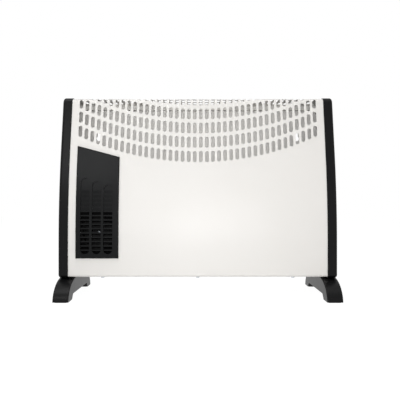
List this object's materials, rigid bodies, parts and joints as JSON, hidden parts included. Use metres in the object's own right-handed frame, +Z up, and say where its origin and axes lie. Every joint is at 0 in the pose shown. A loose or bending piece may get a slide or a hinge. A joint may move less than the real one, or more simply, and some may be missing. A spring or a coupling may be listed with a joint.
{
  "type": "convector heater",
  "caption": "Free-standing electric convector heater: slotted steel casing between moulded ends on arched feet, with a turbo blower grille, dial and rocker switches.",
  "frame": {"origin": "on the floor, midway between the ends and between the toes of the feet", "axes": "+X to the right as seen from the front, -Y out of the front, +Z up"},
  "size_m": [0.525, 0.2, 0.385],
  "materials": {
    "white_enamel": "satin powder coat",
    "black_moulding": "fine spark texture",
    "black_grille": "fine spark texture",
    "black_dial": "satin",
    "black_rocker": "gloss",
    "red_rocker": "gloss",
    "rubber_black": "matte",
    "zinc_steel": "bright zinc",
    "aluminised_steel": "dull aluminised",
    "resistance_wire": "oxidised",
    "ceramic": "unglazed",
    "mica": "layered sheen",
    "thermoset_brown": "moulded thermoset",
    "terminal_nylon": "moulded nylon",
    "brass": "bright",
    "grey_housing": "moulded",
    "core_steel": "stacked laminations",
    "winding_tape": "polyester tape"
  },
  "bodies": {
    "casing": {"bracket_screws": "zinc_steel", "ceramic_bushes": "ceramic", "cord_bush": "rubber_black", "fan_bracket": "zinc_steel", "fan_grille": "black_grille", "fan_housing": "grey_housing", "fan_switch": "black_dial", "floor_grille": "white_enamel", "floor_screws": "zinc_steel", "foot_screws": "zinc_steel", "front_bearing": "zinc_steel", "front_left_pad": "rubber_black", "front_panel": "white_enamel", "front_right_pad": "rubber_black", "heat_shield": "aluminised_steel", "high_heat_coil": "resistance_wire", "high_heat_switch": "black_dial", "left_end": "black_moulding", "left_foot": "black_moulding", "left_mica_support": "mica", "low_heat_coil": "resistance_wire", "low_heat_switch": "black_dial", "motor_core": "core_steel", "motor_screws": "zinc_steel", "motor_spacers": "zinc_steel", "motor_winding": "winding_tape", "partition": "aluminised_steel", "rear_bearing": "zinc_steel", "rear_left_pad": "rubber_black", "rear_panel": "white_enamel", "rear_right_pad": "rubber_black", "rear_screws": "zinc_steel", "right_end": "black_moulding", "right_foot": "black_moulding", "right_mica_support": "mica", "shield_screws": "zinc_steel", "shield_spacers": "zinc_steel", "terminal_block": "terminal_nylon", "terminal_screws": "brass", "thermal_cutout": "thermoset_brown", "thermostat": "thermoset_brown", "thermostat_nut": "zinc_steel"},
    "dial": {"thermostat_knob": "black_dial", "thermostat_spindle": "zinc_steel"},
    "low_heat_rocker": {"low_heat_rocker": "red_rocker"},
    "high_heat_rocker": {"high_heat_rocker": "red_rocker"},
    "fan_rocker": {"fan_rocker": "black_rocker"},
    "fan": {"impeller": "grey_housing", "motor_rotor": "zinc_steel"}
  },
  "joints": [
    {"name": "thermostat_turn", "type": "hinge", "parent": "casing", "child": "dial", "pos_m": [0.2565, 0, 0.235], "axis": [-1, 0, 0], "range_deg": [0, 270]},
    {"name": "low_heat_switch", "type": "hinge", "parent": "casing", "child": "low_heat_rocker", "pos_m": [0.249, 0, 0.188], "axis": [0, 0, 1], "range_deg": [0, 24]},
    {"name": "high_heat_switch", "type": "hinge", "parent": "casing", "child": "high_heat_rocker", "pos_m": [0.249, 0, 0.166], "axis": [0, 0, 1], "range_deg": [0, 24]},
    {"name": "fan_switch", "type": "hinge", "parent": "casing", "child": "fan_rocker", "pos_m": [0.249, 0, 0.144], "axis": [0, 0, 1], "range_deg": [0, 24]},
    {"name": "fan_spin", "type": "hinge", "parent": "casing", "child": "fan", "pos_m": [-0.1904, 0, 0.1235], "axis": [0, -1, 0], "continuous": true}
  ]
}
